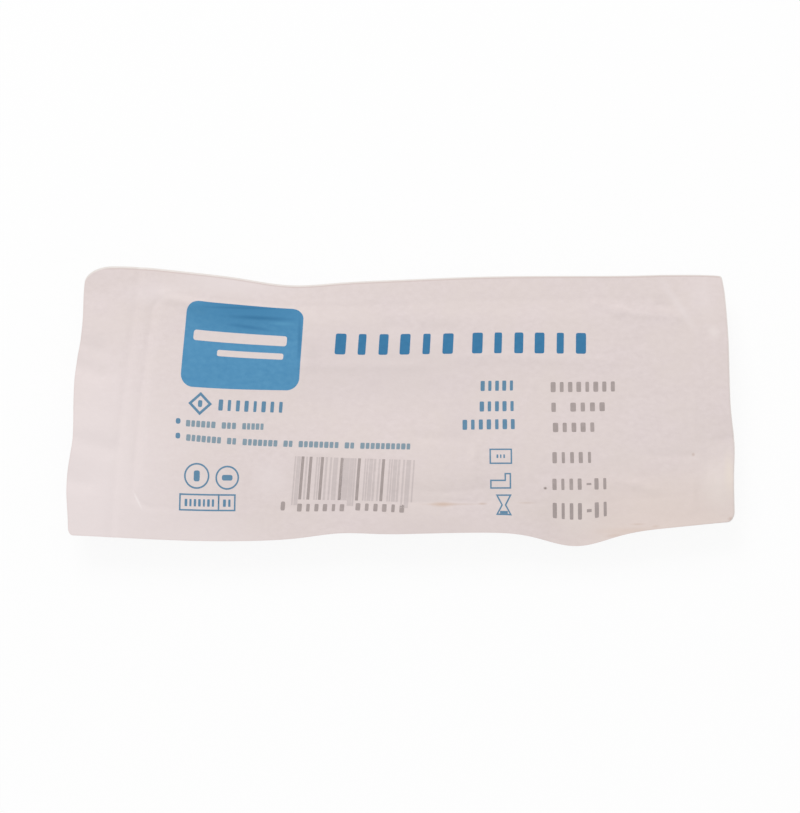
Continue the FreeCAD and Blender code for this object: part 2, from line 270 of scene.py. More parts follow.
# The tube inside lifts the paper in a ridge along an arc, and the near side of its flange's round
# rim in a second one: places from the pocket's left and lower lines, the lifts and the spreads
tube_tip = (34.6, 31.5)
tube_bend = (42.5, 14.6)
tube_flange = (79.6, 8.2)
tip_lift = 0.5
flange_lift = 0.4
tube_spread = 8.5
flange_centre = (86.2, 9.8)
flange_radius = 7.0
flange_half_length = 5.0
flange_extra_lift = 0.33
flange_spread = 1.3

# Long hollow where nothing lifts the loose paper, measured from the pocket's left and upper lines,
# and how far inside its line the loose paper follows the tube and the hollow in full
hollow_u = pocket_left + 62.0
hollow_v = pocket_top - 23.5
hollow_half_length = 42.0
hollow_spread = 8.5
hollow_depth = 0.6
paper_run = 6.5

# The loose paper stands a little above the seal, and has risen so far over a different run at the
# left, right, lower and upper lines
paper_rise = 0.32
rise_runs = (2.5, 25.0, 12.0, 5.5)


def circle_through(a, b, c):
    """Centre and radius of the circle through three points: the centre is as far from all three."""
    rows = 2.0 * np.array([np.subtract(b, a), np.subtract(c, a)])
    sums = [np.dot(b, b) - np.dot(a, a), np.dot(c, c) - np.dot(a, a)]
    centre = np.linalg.solve(rows, sums)
    return centre, math.dist(centre, a)


def from_pocket_corner(point):
    """Place on the flat webs of a point given from the pocket's left and lower lines."""
    return np.array([pocket_left + point[0], pocket_bottom + point[1]])


tube_centre, tube_radius = circle_through(*map(from_pocket_corner, (tube_tip, tube_bend, tube_flange)))


def tube_angle(u, v):
    """Direction of a point from the centre of the tube's bend, from 0 to a full turn."""
    return np.arctan2(v - tube_centre[1], u - tube_centre[0]) % (2.0 * math.pi)


def content_lift(u, v):
    """Bell of the distance from the tube's arc times its lift, plus one along the flange's rim."""
    tip_angle = tube_angle(*from_pocket_corner(tube_tip))
    flange_angle = tube_angle(*from_pocket_corner(tube_flange))
    share = np.clip((tube_angle(u, v) - tip_angle) / (flange_angle - tip_angle), 0.0, 1.0)
    angle = tip_angle + share * (flange_angle - tip_angle)
    nearest_u = tube_centre[0] + tube_radius * np.cos(angle)
    nearest_v = tube_centre[1] + tube_radius * np.sin(angle)
    lift = tip_lift + (flange_lift - tip_lift) * share
    ridge = lift * bell(np.hypot(u - nearest_u, v - nearest_v), tube_spread)
    rim_u, rim_v = from_pocket_corner(flange_centre)
    off_rim = np.hypot(u - rim_u, v - rim_v) - flange_radius
    flange_u, flange_v = from_pocket_corner(tube_flange)
    off_middle = np.hypot(u - flange_u, v - flange_v)
    return ridge + flange_extra_lift * bell(off_rim, flange_spread) * bell(off_middle, flange_half_length)


def loose_share(u, v):
    """Product of four ramps: 0 where the paper is sealed down and 1 well inside the pocket's line."""
    ends = ramp(upright(u, v) - pocket_left, paper_run) * ramp(pocket_right - u, paper_run)
    return ends * ramp(v - pocket_bottom, paper_run) * ramp(pocket_top - v, paper_run)


def paper_height(u, v):
    """Height of the paper's printed side: the sealed webs' own, with lift and sag where it is loose."""
    sag = hollow_depth * bell(u - hollow_u, hollow_half_length) * bell(v - hollow_v, hollow_spread)
    rise = paper_rise * ramp(upright(u, v) - pocket_left, rise_runs[0])
    rise = rise * ramp(pocket_right - u, rise_runs[1])
    rise = rise * ramp(v - pocket_bottom, rise_runs[2]) * ramp(pocket_top - v, rise_runs[3])
    return web_height(u, v) + rise + (content_lift(u, v) - sag) * loose_share(u, v)


def pressed_corners(s, t, half_s, half_t, radius_s, radius_t):
    """Points of a square-cornered grid with its corner boxes pressed in to quarter ellipses.

    In a corner box with a and b its shares from 0 to 1 towards the tip, a point goes to
    (a, b) * max(a, b) / hypot(a, b).
    """
    a = np.maximum(np.abs(s) - half_s + radius_s, 0.0) / np.maximum(radius_s, 1e-9)
    b = np.maximum(np.abs(t) - half_t + radius_t, 0.0) / np.maximum(radius_t, 1e-9)
    pull = np.maximum(a, b) / np.maximum(np.hypot(a, b), 1e-9) - 1.0
    pull = np.where((a > 0.0) & (b > 0.0), pull, 0.0)
    return s + np.sign(s) * a * radius_s * pull, t + np.sign(t) * b * radius_t * pull


# A web's mesh is three times as fine as elsewhere in these millimetres beside a line
fine_share = 3.0
fine_reach = 1.5


def crowded(half, count, lines):
    """Places from -half to half, closer together beside the lines than elsewhere.

    They are even in the sum of 1 + (share - 1) exp(-(distance / reach)^2) over the way from -half.
    """
    fine = np.linspace(-half, half, 4000)
    weight = np.cumsum(1.0 + (fine_share - 1.0) * sum(bell(fine - line, fine_reach) for line in lines))
    return np.interp(np.linspace(weight[0], weight[-1], count), weight, fine)


# Cut corners, left and right, first at the bottom edge and then at the top edge: their radii
# along and across the pouch
cut_corner_radii = (((1.1, 1.6), (1.8, 2.6)), ((6.0, 3.6), (0.8, 0.8)))


def web_grid(columns, rows, inset=0.0):
    """Flat coordinates of a grid over a cut web, finer beside its lines, with rounded corners."""
    half_u = half_length - inset
    half_v = half_width - inset
    u, v = np.meshgrid(
        crowded(half_u, columns, [-half_u, peel_tab - half_length, pocket_left, pocket_right, half_u]),
        crowded(half_v, rows, [-half_v, pocket_bottom, pocket_top, half_v]),
        indexing="ij",
    )
    radii = np.array(cut_corner_radii)[(v > 0).astype(int), (u > 0).astype(int)]
    return pressed_corners(u, v, half_u, half_v, radii[..., 0], radii[..., 1])


# The paper was cut a hair smaller than the film and laid towards the left and bottom edges, so the
# film shows past it as a thin rim above and at the right
paper_inset = 0.15
paper_laid_left = 0.1
paper_laid_down = 0.13
paper_columns = 320
paper_rows = 130

paper_u, paper_v = web_grid(paper_columns, paper_rows, paper_inset)
paper_u = paper_u - paper_laid_left
paper_v = paper_v - paper_laid_down
cut_x, cut_y = plan(*web_grid(paper_columns, paper_rows))
sheet_shift_x = 500.0 * (solid_low.x + solid_high.x) - (cut_x.min() + cut_x.max()) / 2
sheet_shift_y = 500.0 * (solid_low.y + solid_high.y) - (cut_y.min() + cut_y.max()) / 2


def in_scene(u, v, height):
    """Points of the scene, in metres, over flat coordinates, at a height in millimetres."""
    x, y = plan(u, v)
    return np.stack([x + sheet_shift_x, y + sheet_shift_y, height], axis=-1) / 1000.0


def closed_sheet(upper, lower, ring=False):
    """Points and faces of a closed sheet between two grids of points.

    The upper grid faces up, the lower one down, and flat walls join their borders. In a ring the
    first axis runs anticlockwise and closes on itself, and both long borders get a wall.
    """
    columns, rows = upper.shape[:2]
    index = np.arange(columns * rows).reshape(columns, rows)
    if ring:
        index = np.vstack([index, index[:1]])
        borders = [index[:, 0], index[::-1, -1]]
    else:
        borders = [np.concatenate([index[:, 0], index[-1, 1:], index[-2::-1, -1], index[0, -2::-1]])]
    around = [index[:-1, :-1], index[1:, :-1], index[1:, 1:], index[:-1, 1:]]
    top = np.stack(around, axis=-1).reshape(-1, 4)
    under = columns * rows
    walls = [np.stack([b[:-1] + under, b[1:] + under, b[1:], b[:-1]], axis=-1) for b in borders]
    faces = np.concatenate([top, top[:, ::-1] + under, *walls])
    return np.concatenate([upper.reshape(-1, 3), lower.reshape(-1, 3)]), faces


sharp_turn = 50.0


def piece(name, sheets, material):
    """One object made of closed sheets, placed by its points, that rides on the pouch.

    It is shaded smooth, apart from the edges at which it turns by more than the sharp turn.
    """
    starts = np.cumsum([0] + [len(points) for points, _ in sheets])
    points = np.concatenate([points for points, _ in sheets])
    faces = np.concatenate([faces + start for (_, faces), start in zip(sheets, starts)])
    mesh = bpy.data.meshes.new(name)
    mesh.from_pydata(points.tolist(), [], faces.tolist())
    mesh.shade_smooth()
    mesh.set_sharp_from_angle(angle=math.radians(sharp_turn))
    mesh.materials.append(material)
    made = bpy.data.objects.new(name, mesh)
    bpy.context.scene.collection.objects.link(made)
    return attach(made, "root")


def add(tree, kind, values, **settings):
    """A shader node with its settings, its inputs given as plain values or as other nodes' outputs."""
    node = tree.nodes.new(kind)
    for name, value in settings.items():
        setattr(node, name, value)
    for name, value in values.items():
        if isinstance(value, bpy.types.NodeSocket):
            tree.links.new(value, node.inputs[name])
        else:
            node.inputs[name].default_value = value
    return node


def new_group(name, inputs, outputs):
    """An empty node group with named vector inputs and number outputs, and its two end nodes."""
    tree = bpy.data.node_groups.new(name, "ShaderNodeTree")
    for socket in inputs:
        tree.interface.new_socket(socket, in_out="INPUT", socket_type="NodeSocketVector")
    for socket in outputs:
        tree.interface.new_socket(socket, in_out="OUTPUT", socket_type="NodeSocketFloat")
    return tree, tree.nodes.new("NodeGroupInput").outputs, tree.nodes.new("NodeGroupOutput").inputs


# Paper grain: felted fibres a third of a millimetre long, cloudy formation about a millimetre
# across, slow shifts of tone, and the crackle of a thin sheet that has been handled, whose crests
# are the middle values of a noise
grain, grain_in, grain_out = new_group("paper_grain", ["Vector"], ["Cloud", "Shift", "Fibre", "Height"])
fibre_space = add(grain, "ShaderNodeMapping", {"Vector": grain_in["Vector"], "Scale": (1.0, 1.3, 1.0)})
felt = fibre_space.outputs[0]
fibre = add(grain, "ShaderNodeTexNoise", {"Vector": felt, "Scale": 2600.0, "Detail": 3.0})
cloud = add(grain, "ShaderNodeTexNoise", {"Vector": felt, "Scale": 700.0, "Detail": 4.0})
shift = add(grain, "ShaderNodeTexNoise", {"Vector": felt, "Scale": 95.0, "Detail": 3.0})
crackle = add(grain, "ShaderNodeTexNoise", {"Vector": felt, "Scale": 120.0, "Detail": 2.5})
from_crest = add(grain, "ShaderNodeMath", {0: crackle.outputs[0], 1: 0.5}, operation="SUBTRACT")
crest = add(grain, "ShaderNodeMath", {0: from_crest.outputs[0]}, operation="ABSOLUTE")
relief = add(
    grain,
    "ShaderNodeMath",
    {0: crest.outputs[0], 1: -16.0, 2: fibre.outputs[0]},
    operation="MULTIPLY_ADD",
)
grain.links.new(cloud.outputs[0], grain_out["Cloud"])
grain.links.new(shift.outputs[0], grain_out["Shift"])
grain.links.new(fibre.outputs[0], grain_out["Fibre"])
grain.links.new(relief.outputs[0], grain_out["Height"])

# Soft spot: 1 in its middle, falling smoothly to 0 at the ends of its half sizes, and turned
# about its middle
spot, spot_in, spot_out = new_group("soft_spot", ["Vector", "Middle", "Half Size", "Turn"], ["Mask"])
from_middle = add(
    spot, "ShaderNodeVectorMath", {0: spot_in["Vector"], 1: spot_in["Middle"]}, operation="SUBTRACT"
)
turned = add(
    spot,
    "ShaderNodeVectorRotate",
    {"Vector": from_middle.outputs[0], "Rotation": spot_in["Turn"]},
    rotation_type="EULER_XYZ",
)
in_sizes = add(
    spot, "ShaderNodeVectorMath", {0: turned.outputs[0], 1: spot_in["Half Size"]}, operation="DIVIDE"
)
how_far = add(spot, "ShaderNodeVectorMath", {0: in_sizes.outputs[0]}, operation="LENGTH")
fading = add(
    spot,
    "ShaderNodeMapRange",
    {"Value": how_far.outputs["Value"], "To Min": 1.0, "To Max": 0.0},
    interpolation_type="SMOOTHSTEP",
)
spot.links.new(fading.outputs[0], spot_out["Mask"])


def mixed(tree, share, first, second):
    """Colour output that goes from the first colour to the second as the share goes from 0 to 1."""
    return add(tree, "ShaderNodeMix", {0: share, 6: first, 7: second}, data_type="RGBA").outputs[2]


# Marks reach further down than the pouch is thick
mark_depth = 0.05


def paper_look(name, colour, clouded_colour, shifted_colour, marks_and_painted_light):
    """Matt paper, or ink that has sunk into it: clouded by the grain, tinted by marks, felted bump.

    A mark is its middle from the webs' left and bottom edges, its half sizes, its turn in degrees,
    its tint and its strength. Some marks paint light and shade instead of the paper's own tints.
    """
    material = bpy.data.materials.new(name)
    material.use_nodes = True
    tree = material.node_tree
    place = add(tree, "ShaderNodeTexCoord", {}).outputs["Object"]
    sheet = add(tree, "ShaderNodeGroup", {}, node_tree=grain)
    tree.links.new(place, sheet.inputs["Vector"])
    clouding = add(
        tree, "ShaderNodeMapRange", {"Value": sheet.outputs["Cloud"], "From Min": 0.3, "From Max": 0.7}
    ).outputs[0]
    shifting = add(
        tree,
        "ShaderNodeMapRange",
        {"Value": sheet.outputs["Shift"], "From Min": 0.35, "From Max": 0.65, "To Max": 0.5},
    ).outputs[0]
    tone = mixed(tree, shifting, mixed(tree, clouding, colour, clouded_colour), shifted_colour)
    for along, up, half_along, half_up, turn, tint, strength in marks_and_painted_light:
        u, v = along - half_length, up - half_width
        mark = add(tree, "ShaderNodeGroup", {}, node_tree=spot)
        tree.links.new(place, mark.inputs["Vector"])
        mark.inputs["Middle"].default_value = in_scene(u, v, paper_height(u, v))
        mark.inputs["Half Size"].default_value = (half_along / 1000, half_up / 1000, mark_depth)
        mark.inputs["Turn"].default_value = (0.0, 0.0, -math.radians(turn))
        share = add(tree, "ShaderNodeMath", {0: mark.outputs["Mask"], 1: strength}, operation="MULTIPLY")
        tone = mixed(tree, share.outputs[0], tone, (*tint, 1.0))
    roughness = add(
        tree, "ShaderNodeMapRange", {"Value": sheet.outputs["Fibre"], "To Min": 0.7, "To Max": 0.9}
    ).outputs[0]
    bump = add(tree, "ShaderNodeBump", {"Distance": 0.000012, "Height": sheet.outputs["Height"]})
    shader = tree.nodes["Principled BSDF"]
    shader.inputs["Specular IOR Level"].default_value = 0.3
    tree.links.new(tone, shader.inputs["Base Color"])
    tree.links.new(roughness, shader.inputs["Roughness"])
    tree.links.new(bump.outputs[0], shader.inputs["Normal"])
    return material


# Marks on the paper, some of its own colour and some painted light and shade: a yellowed lower
# right, darker along the lower edge, painted shade over the middle, darker spots right of the
# middle and left of the title, painted light over the tab, the upper left margin and the lower
# left, lighter spots low in the pocket and in the lower seal, a yellowed right end, painted
# highlights along the corner's fold, over the bent corner and along the pocket's lower left
# corner, a brown line worn into the pocket's lower groove, a browner strip along the lower edge
# at the right, and brown specks
paper_marks_and_painted_light = [
    (142.0, 0.0, 44.0, 20.0, 0.0, (0.775, 0.655, 0.59), 0.6),
    (85.0, 0.5, 27.0, 6.0, 0.0, (0.695, 0.605, 0.595), 0.45),
    # Painted shade over the middle of the pocket
    (72.0, 43.0, 44.0, 18.0, 0.0, (0.725, 0.640, 0.635), 0.5),
    # Darker spots right of the middle and left of the title
    (92.0, 26.0, 8.0, 10.0, 0.0, (0.700, 0.615, 0.610), 0.4),
    (56.0, 44.5, 3.0, 5.5, 0.0, (0.680, 0.600, 0.590), 0.5),
    # Painted light over the tab, its upper corner, the upper left margin and the lower left
    (4.0, 10.0, 36.0, 60.0, 0.0, (0.825, 0.74, 0.735), 0.9),
    (16.5, 57.5, 11.0, 4.5, 0.0, (0.82, 0.735, 0.73), 0.5),
    (36.0, 62.0, 24.0, 6.0, 0.0, (0.81, 0.725, 0.72), 0.7),
    (30.0, 0.0, 24.0, 12.0, 0.0, (0.80, 0.715, 0.705), 0.7),
    # Lighter spots low in the pocket and in the lower seal, and a yellowed right end
    (47.0, 14.5, 6.0, 7.0, 0.0, (0.82, 0.735, 0.73), 0.4),
    (119.0, 6.0, 8.0, 8.0, 0.0, (0.82, 0.735, 0.70), 0.6),
    (152.5, 9.0, 6.0, 9.0, 0.0, (0.82, 0.735, 0.69), 0.6),
    (155.2, 11.7, 2.0, 8.0, 0.0, (0.83, 0.735, 0.65), 0.6),
    # Painted highlights along the bent corner's fold, over the corner past it and on a spot near the
    # fold's lower end
    (144.6, 55.2, 13.0, 1.6, -59.0, (0.80, 0.715, 0.705), 0.6),
    (150.5, 57.5, 5.5, 8.0, 0.0, (0.80, 0.715, 0.705), 0.4),
    (152.8, 47.7, 2.2, 2.6, 0.0, (0.82, 0.735, 0.715), 0.75),
    # Painted highlight along the pocket's lower left corner
    (15.9, 9.0, 3.4, 0.4, -63.0, (0.90, 0.83, 0.82), 0.7),
    # Brown line worn into the pocket's lower groove, brown specks, and a browner strip along the lower
    # edge
    (89.0, 6.9, 9.5, 0.45, 0.0, (0.62, 0.49, 0.42), 0.5),
    (87.6, 6.9, 4.0, 0.9, 0.0, (0.64, 0.48, 0.39), 0.7),
    (97.0, 6.9, 1.6, 0.45, 0.0, (0.52, 0.38, 0.30), 0.5),
    (107.3, 7.2, 2.8, 0.4, 0.0, (0.60, 0.47, 0.40), 0.4),
    (147.0, 17.2, 0.6, 0.6, 0.0, (0.48, 0.33, 0.25), 0.4),
    (111.8, 10.5, 0.6, 0.5, 0.0, (0.18, 0.14, 0.12), 0.9),
    (131.5, 0.6, 11.0, 1.3, 0.0, (0.70, 0.56, 0.49), 0.45),
    (127.8, 0.5, 3.2, 0.6, 4.0, (0.60, 0.44, 0.36), 0.35),
    (133.3, 1.8, 2.4, 0.4, 0.0, (0.60, 0.44, 0.36), 0.35),
    (137.4, 0.7, 1.5, 0.5, 5.0, (0.60, 0.44, 0.36), 0.3),
    (155.3, 0.7, 1.1, 0.8, 0.0, (0.50, 0.34, 0.27), 0.4),
]
white_paper = paper_look(
    "white_paper",
    (0.773, 0.680, 0.671, 1.0),
    (0.729, 0.637, 0.626, 1.0),
    (0.748, 0.660, 0.628, 1.0),
    paper_marks_and_painted_light,
)

# The paper's cut edge is darkened within half a millimetre of it, most at the top: painted shadow
# where the paper's edge stands over the film, with a little brown soil, as an attribute that is 0 inside
paper_tree = white_paper.node_tree
paper_shader = paper_tree.nodes["Principled BSDF"]
tone_without_edge_shadow = paper_shader.inputs["Base Color"].links[0].from_socket
edge_shadow_and_soil = add(paper_tree, "ShaderNodeAttribute", {}, attribute_name="edge_shadow_and_soil").outputs["Fac"]
paper_tree.links.new(
    mixed(paper_tree, edge_shadow_and_soil, tone_without_edge_shadow, (0.58, 0.45, 0.42, 1.0)), paper_shader.inputs["Base Color"]
)

paper_top = paper_height(paper_u, paper_v)
paper_sheet = closed_sheet(
    in_scene(paper_u, paper_v, paper_top), in_scene(paper_u, paper_v, paper_top - paper_thickness)
)
paper_web = piece("paper_web", [paper_sheet], white_paper)
from_top_edge = paper_v.max() - paper_v
from_edge = np.minimum(from_top_edge, paper_v - paper_v.min())
from_edge = np.minimum(from_edge, np.minimum(paper_u - paper_u.min(), paper_u.max() - paper_u))
# Painted edge shadow with a little soil: strongest at the top edge, faint at the others
top_edge_shadow_and_soil = 0.45
other_edge_shadow_and_soil = 0.12
edge_shadow_width = 0.4
edge_tint = top_edge_shadow_and_soil * (1.0 - ramp(from_top_edge, edge_shadow_width))
edge_tint = edge_tint + other_edge_shadow_and_soil * (1.0 - ramp(from_edge, edge_shadow_width))
edge_shadow_layer = paper_web.data.attributes.new("edge_shadow_and_soil", "FLOAT", "POINT")
edge_shadow_layer.data.foreach_set("value", np.tile(edge_tint.ravel(), 2))
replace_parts(paper_web, "sealed_pouch")


# Film web
# The lower web is milky film, formed hot into a shallow tray for the tube and then sealed flat to
# the paper. It was laid a touch askew, so a hair of it shows past the paper's top left corner.
film_thickness = 0.12
seal_gap = 0.02
film_askew = 0.25
pocket_rim = 1.2
pocket_wall_run = 4.5
base_softness = 1.3
rim_softness = 0.5


def film_underside(u, v):
    """Lower side of the film: the least of the sealed web and the pocket, the bend rounded.

    The pocket is a plane wall down to a flat base at zero height, (w + sqrt(w^2 + k^2)) / 2.
    """
    sealed = web_height(u, v) - paper_thickness - seal_gap - film_thickness
    wall = seal_height * (pocket_line_distance(u, v) - pocket_rim + pocket_wall_run) / pocket_wall_run
    pocket = (wall + np.hypot(wall, base_softness)) / 2
    return (sealed + pocket - np.hypot(sealed - pocket, rim_softness)) / 2


# Drawing of the film: broad soft ripples, and haze where it was stretched thinner
draw, draw_in, draw_out = new_group("film_draw", ["Vector"], ["Haze", "Height"])
ripple = add(draw, "ShaderNodeTexNoise", {"Vector": draw_in["Vector"], "Scale": 110.0, "Detail": 2.0})
haze = add(draw, "ShaderNodeTexNoise", {"Vector": draw_in["Vector"], "Scale": 700.0, "Detail": 4.0})
draw.links.new(haze.outputs[0], draw_out["Haze"])
draw.links.new(ripple.outputs[0], draw_out["Height"])

milky_film = bpy.data.materials.new("milky_film")
milky_film.use_nodes = True
film_tree = milky_film.node_tree
film_place = add(film_tree, "ShaderNodeTexCoord", {}).outputs["Object"]
film_drawn = add(film_tree, "ShaderNodeGroup", {}, node_tree=draw)
film_tree.links.new(film_place, film_drawn.inputs["Vector"])
film_haze = film_drawn.outputs["Haze"]
film_tone = mixed(film_tree, film_haze, (0.78, 0.73, 0.70, 1.0), (0.83, 0.78, 0.745, 1.0))
film_roughness = add(film_tree, "ShaderNodeMapRange", {"Value": film_haze, "To Min": 0.22, "To Max": 0.42})
film_bump = add(film_tree, "ShaderNodeBump", {"Distance": 0.0002, "Height": film_drawn.outputs["Height"]})
film_shader = film_tree.nodes["Principled BSDF"]
film_tree.links.new(film_tone, film_shader.inputs["Base Color"])
film_tree.links.new(film_roughness.outputs[0], film_shader.inputs["Roughness"])
film_tree.links.new(film_bump.outputs[0], film_shader.inputs["Normal"])

film_columns = 280
film_rows = 118
film_u, film_v = web_grid(film_columns, film_rows)
film_v = film_v + film_askew * (0.5 - film_u / pouch_length)
film_low = film_underside(film_u, film_v)
film_sheet = closed_sheet(
    in_scene(film_u, film_v, film_low + film_thickness), in_scene(film_u, film_v, film_low)
)
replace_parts(piece("film_web", [film_sheet], milky_film), "sealed_pouch")


# Blue patch
# A plain block of process blue, printed in one solid on the paper and a little uneven where the
# plate pressed over the groove. Two bars in it are left unprinted.
ink_proud = 0.02
ink_sunk = 0.03
print_cell = 0.45


def inked(u, v, ring=False, proud=ink_proud):
    """Closed sheet of ink over flat coordinates: just proud of the paper, its underside within it."""
    height = paper_height(u, v)
    return closed_sheet(in_scene(u, v, height + proud), in_scene(u, v, height - ink_sunk), ring)


def block(along, up, length, height, corner=0.0, tilt=0.0, proud=ink_proud):
    """Ink over a rounded rectangle, given by its middle, its size and its tilt in degrees."""
    s, t = np.meshgrid(
        np.linspace(-length / 2, length / 2, math.ceil(length / print_cell) + 1),
        np.linspace(-height / 2, height / 2, math.ceil(height / print_cell) + 1),
        indexing="ij",
    )
    s, t = pressed_corners(s, t, length / 2, height / 2, corner, corner)
    turn = math.radians(tilt)
    u = along - half_length + s * math.cos(turn) - t * math.sin(turn)
    v = up - half_width + s * math.sin(turn) + t * math.cos(turn)
    return inked(u, v, proud=proud)


# The plate printed heavier at the top and in streaks: as the paper's marks
deep_blue = (0.050, 0.215, 0.400)
patch_marks = [
    (41.0, 56.5, 26.0, 12.0, 0.0, deep_blue, 1.0),
    (42.5, 53.0, 11.0, 0.9, -3.0, (0.030, 0.16, 0.32), 0.8),
    (40.0, 50.6, 7.5, 0.8, -9.0, (0.036, 0.175, 0.35), 0.7),
    (48.5, 48.2, 3.0, 0.9, -5.0, (0.036, 0.175, 0.35), 0.6),
    (52.6, 48.0, 0.8, 9.0, 0.0, (0.036, 0.175, 0.35), 0.6),
    (48.5, 51.8, 4.5, 0.7, -3.0, (0.095, 0.31, 0.51), 0.7),
    (38.0, 55.4, 13.0, 0.5, -1.0, (0.030, 0.16, 0.32), 0.6),
]
patch_blue = paper_look(
    "patch_blue",
    (0.098, 0.305, 0.510, 1.0),
    (0.070, 0.255, 0.460, 1.0),
    (0.085, 0.285, 0.500, 1.0),
    patch_marks,
)
piece("blue_patch", [block(39.0, 45.9, 28.4, 20.6, corner=3.0, tilt=-0.5)], patch_blue)

bar_proud = 0.01
pale_bars = [
    block(38.3, 47.7, 22.6, 2.5, corner=0.6, tilt=-1.5, proud=ink_proud + bar_proud),
    block(41.0, 43.8, 16.0, 1.5, corner=0.4, tilt=-1.5, proud=ink_proud + bar_proud),
]
piece("unprinted_bars", pale_bars, white_paper)


# Blue lettering places
# Rows of plain blocks stand where the pouch is lettered in blue, a block for each letter's place,
# with plain rings, frames and outlines for the small pictures.
def word(along, up, length, count, height, tilt=0.0, fill=0.46):
    """Upright blocks in even cells, each filling its cell by fill + 0.08 cos(2.4 k) of its width."""
    turn = math.radians(tilt)
    cell = length / count
    blocks = []
    for k in range(count):
        reach = (k + 0.5) * cell
        width = cell * (fill + 0.08 * math.cos(2.4 * k))
        place = (along + reach * math.cos(turn), up + reach * math.sin(turn))
        blocks.append(block(*place, width, height, corner=0.15 * width, tilt=tilt))
    return blocks


def band(corners, stroke):
    """Ink along a closed outline, given anticlockwise: a strip of even width with mitred corners.

    At a corner between sides with outward normals m and n, the strip's edge is moved out by half
    its width times (m + n) / (1 + m . n). The sides are divided into print cells.
    """
    corners = np.array(corners) - (half_length, half_width)
    sides = np.roll(corners, -1, axis=0) - corners
    lengths = np.hypot(sides[:, 0], sides[:, 1])
    normals = np.stack([sides[:, 1], -sides[:, 0]], axis=-1) / lengths[:, None]
    before = np.roll(normals, 1, axis=0)
    mitres = (before + normals) / (1.0 + np.sum(before * normals, axis=1))[:, None]
    counts = np.ceil(lengths / print_cell).astype(int)
    side = np.repeat(np.arange(len(corners)), counts)
    share = np.concatenate([np.arange(count) / count for count in counts])[:, None]
    following = (side + 1) % len(corners)
    line = corners[side] * (1.0 - share) + corners[following] * share
    out = (mitres[side] * (1.0 - share) + mitres[following] * share) * stroke / 2
    strip = np.stack([line + out, line - out], axis=1)
    return inked(strip[..., 0], strip[..., 1], ring=True)


def circle(along, up, radius, count=40):
    """Corners of a many-sided circle, anticlockwise."""
    turn = np.linspace(0.0, 2.0 * math.pi, count, endpoint=False)
    return np.stack([along + radius * np.cos(turn), up + radius * np.sin(turn)], axis=-1)


def rectangle(left, bottom, right, top):
    """Corners of a rectangle, anticlockwise."""
    return [(left, bottom), (right, bottom), (right, top), (left, top)]


# The large letters are printed solid
title_blue = paper_look(
    "title_blue", (0.044, 0.205, 0.390, 1.0), (0.034, 0.175, 0.350, 1.0), (0.040, 0.190, 0.370, 1.0), []
)
title_sheets = [
    *word(60.0, 47.2, 31.2, 6, 5.2, tilt=-1.4, fill=0.42),
    *word(93.2, 46.4, 30.0, 6, 5.2, tilt=-0.8, fill=0.42),
]
piece("blue_title", title_sheets, title_blue)

# The thin strokes of the labels and small pictures take up less ink
stroke_blue = paper_look(
    "stroke_blue", (0.135, 0.270, 0.400, 1.0), (0.105, 0.235, 0.370, 1.0), (0.120, 0.250, 0.380, 1.0), []
)
stroke_sheets = [
    *word(33.7, 31.8, 16.4, 8, 2.6, tilt=-1.4, fill=0.43),
    block(24.8, 27.6, 1.1, 1.3, corner=0.4),
    block(24.9, 24.2, 1.1, 1.3, corner=0.4),
    band([(27.4, 31.9), (29.8, 29.6), (32.2, 31.9), (29.8, 34.2)], 0.6),
    block(29.8, 31.9, 1.0, 1.6, corner=0.3),
    band(circle(29.7, 15.1, 2.8), 0.38),
    block(29.7, 15.1, 1.4, 2.5, corner=0.4),
    band(circle(36.9, 14.8, 2.6), 0.38),
    block(36.9, 14.8, 2.5, 1.3, corner=0.4),
    band(rectangle(25.9, 7.2, 35.0, 10.8), 0.36),
    band(rectangle(35.0, 7.2, 38.8, 10.8), 0.36),
    *word(26.8, 8.9, 7.4, 7, 1.7, fill=0.52),
    *word(35.8, 8.9, 2.3, 2, 1.7, fill=0.52),
    *word(96.3, 35.7, 8.6, 5, 2.5, fill=0.5),
    *word(96.1, 30.6, 9.0, 5, 2.5, fill=0.5),
    *word(92.0, 26.1, 13.3, 7, 2.5, fill=0.5),
    band(rectangle(98.9, 16.5, 103.9, 19.9), 0.34),
    *word(100.2, 18.2, 2.4, 3, 0.9),
    band([(99.0, 10.6), (103.6, 10.6), (103.6, 14.0), (102.4, 14.0), (102.4, 12.4), (99.0, 12.4)], 0.34),
    band([(100.4, 4.4), (103.6, 4.4), (102.4, 6.6), (103.6, 8.9), (100.4, 8.9), (101.6, 6.6)], 0.34),
    block(102.0, 4.9, 1.8, 0.6),
]
piece("blue_strokes", stroke_sheets, stroke_blue)

# The smallest lines are finer still and look paler
fine_blue = paper_look(
    "fine_blue", (0.260, 0.345, 0.405, 1.0), (0.215, 0.305, 0.375, 1.0), (0.240, 0.325, 0.390, 1.0), []
)
fine_sheets = [
    *word(26.6, 27.2, 7.2, 6, 1.5, tilt=-1.2, fill=0.76),
    *word(35.1, 27.0, 3.6, 3, 1.5, tilt=-1.2, fill=0.76),
    *word(40.0, 26.9, 5.3, 5, 1.5, tilt=-1.2, fill=0.76),
    *word(26.8, 23.9, 8.5, 7, 1.5, tilt=-3.0, fill=0.76),
    *word(36.5, 23.4, 2.4, 2, 1.5, tilt=-3.0, fill=0.76),
    *word(40.2, 23.2, 8.5, 7, 1.5, tilt=-3.0, fill=0.76),
    *word(49.9, 22.7, 2.4, 2, 1.5, tilt=-3.0, fill=0.76),
    *word(53.5, 22.5, 9.7, 8, 1.5, tilt=-3.0, fill=0.76),
    *word(64.4, 21.9, 2.5, 2, 1.5, tilt=-3.0, fill=0.76),
    *word(68.1, 21.7, 12.1, 10, 1.5, tilt=-3.0, fill=0.76),
]
piece("blue_fine_print", fine_sheets, fine_blue)


